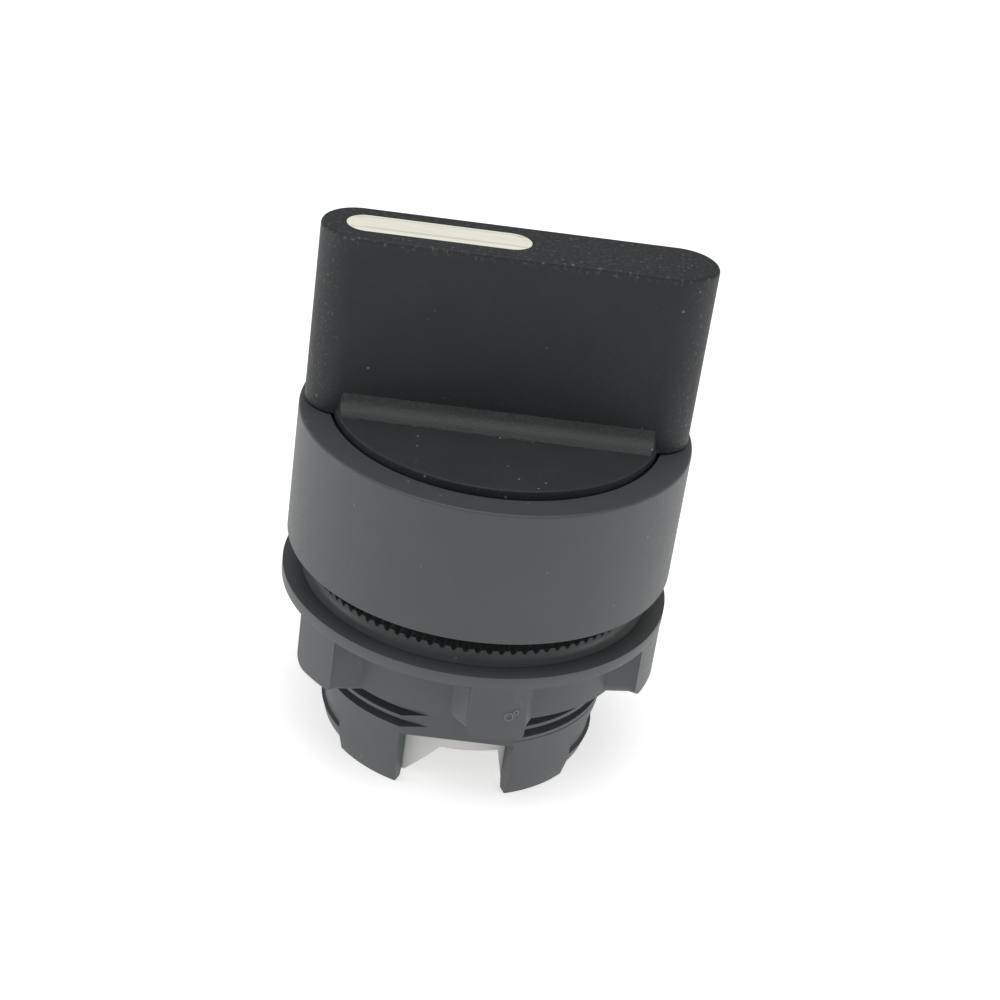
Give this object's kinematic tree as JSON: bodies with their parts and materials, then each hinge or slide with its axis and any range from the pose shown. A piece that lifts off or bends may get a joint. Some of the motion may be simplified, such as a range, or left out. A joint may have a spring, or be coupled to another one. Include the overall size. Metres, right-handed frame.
{
  "type": "rotary battery switch head",
  "caption": "Panel-mounted lever switch head: round bezel, bar lever with white index line, threaded barrel, toothed ring and lugged ring nut, and a ramped drum that works the contacts.",
  "frame": {"origin": "on the barrel's axis, in the panel plane (the underside of the bezel's rim)", "axes": "+Z along the barrel towards the user's side, +X along the lever at rest, away from the white index line, +Y completes the right hand"},
  "size_m": [0.0292, 0.0292, 0.0405],
  "materials": {
    "bezel_plastic": "matte",
    "barrel_plastic": "matte",
    "nut_plastic": "matte",
    "handle_plastic": "matte",
    "index_white": "satin",
    "drum_white": "satin",
    "inner_plastic": "matte",
    "seal_rubber": "matte",
    "steel": "satin",
    "brass": "satin"
  },
  "bodies": {
    "housing": {"threaded_barrel": "barrel_plastic", "bezel": "bezel_plastic", "panel_gasket": "seal_rubber", "index_ring": "inner_plastic", "thrust_washer": "drum_white", "lip_seal": "seal_rubber", "seal_washer": "steel"},
    "lever": {"handle": "handle_plastic", "index_insert": "index_white", "drive_shaft": "inner_plastic", "hub_insert": "brass", "cam_drum": "drum_white", "drum_screw": "steel", "screw_washer": "steel", "detent_spring_1": "steel", "detent_spring_2": "steel"},
    "ball_one": {"detent_ball_1": "steel"},
    "ball_two": {"detent_ball_2": "steel"},
    "toothed_ring": {"grip_ring": "nut_plastic"},
    "nut": {"fixing_nut": "nut_plastic"}
  },
  "joints": [
    {"name": "lever_turn", "type": "hinge", "parent": "housing", "child": "lever", "pos_m": [0, 0, 0], "axis": [0, 0, -1], "range_deg": [0, 90]},
    {"name": "ball_one_press", "type": "slide", "parent": "lever", "child": "ball_one", "axis": [1, 0, 0], "range_m": [0, 0.0005], "stiffness_N_per_m": 50, "springref_m": 0.002},
    {"name": "ball_two_press", "type": "slide", "parent": "lever", "child": "ball_two", "axis": [-1, 0, 0], "range_m": [0, 0.0005], "stiffness_N_per_m": 50, "springref_m": 0.002},
    {"name": "nut_travel", "type": "slide", "parent": "housing", "child": "toothed_ring", "axis": [0, 0, 1], "range_m": [-0.0145, 0.0007]},
    {"name": "nut_turn", "type": "hinge", "parent": "toothed_ring", "child": "nut", "pos_m": [0, 0, 0], "axis": [0, 0, 1], "range_deg": [-5221, 253]}
  ],
  "couplings": [
    {"joint": "nut_turn", "follows": "nut_travel", "rad_per_m": 6283.2}
  ]
}
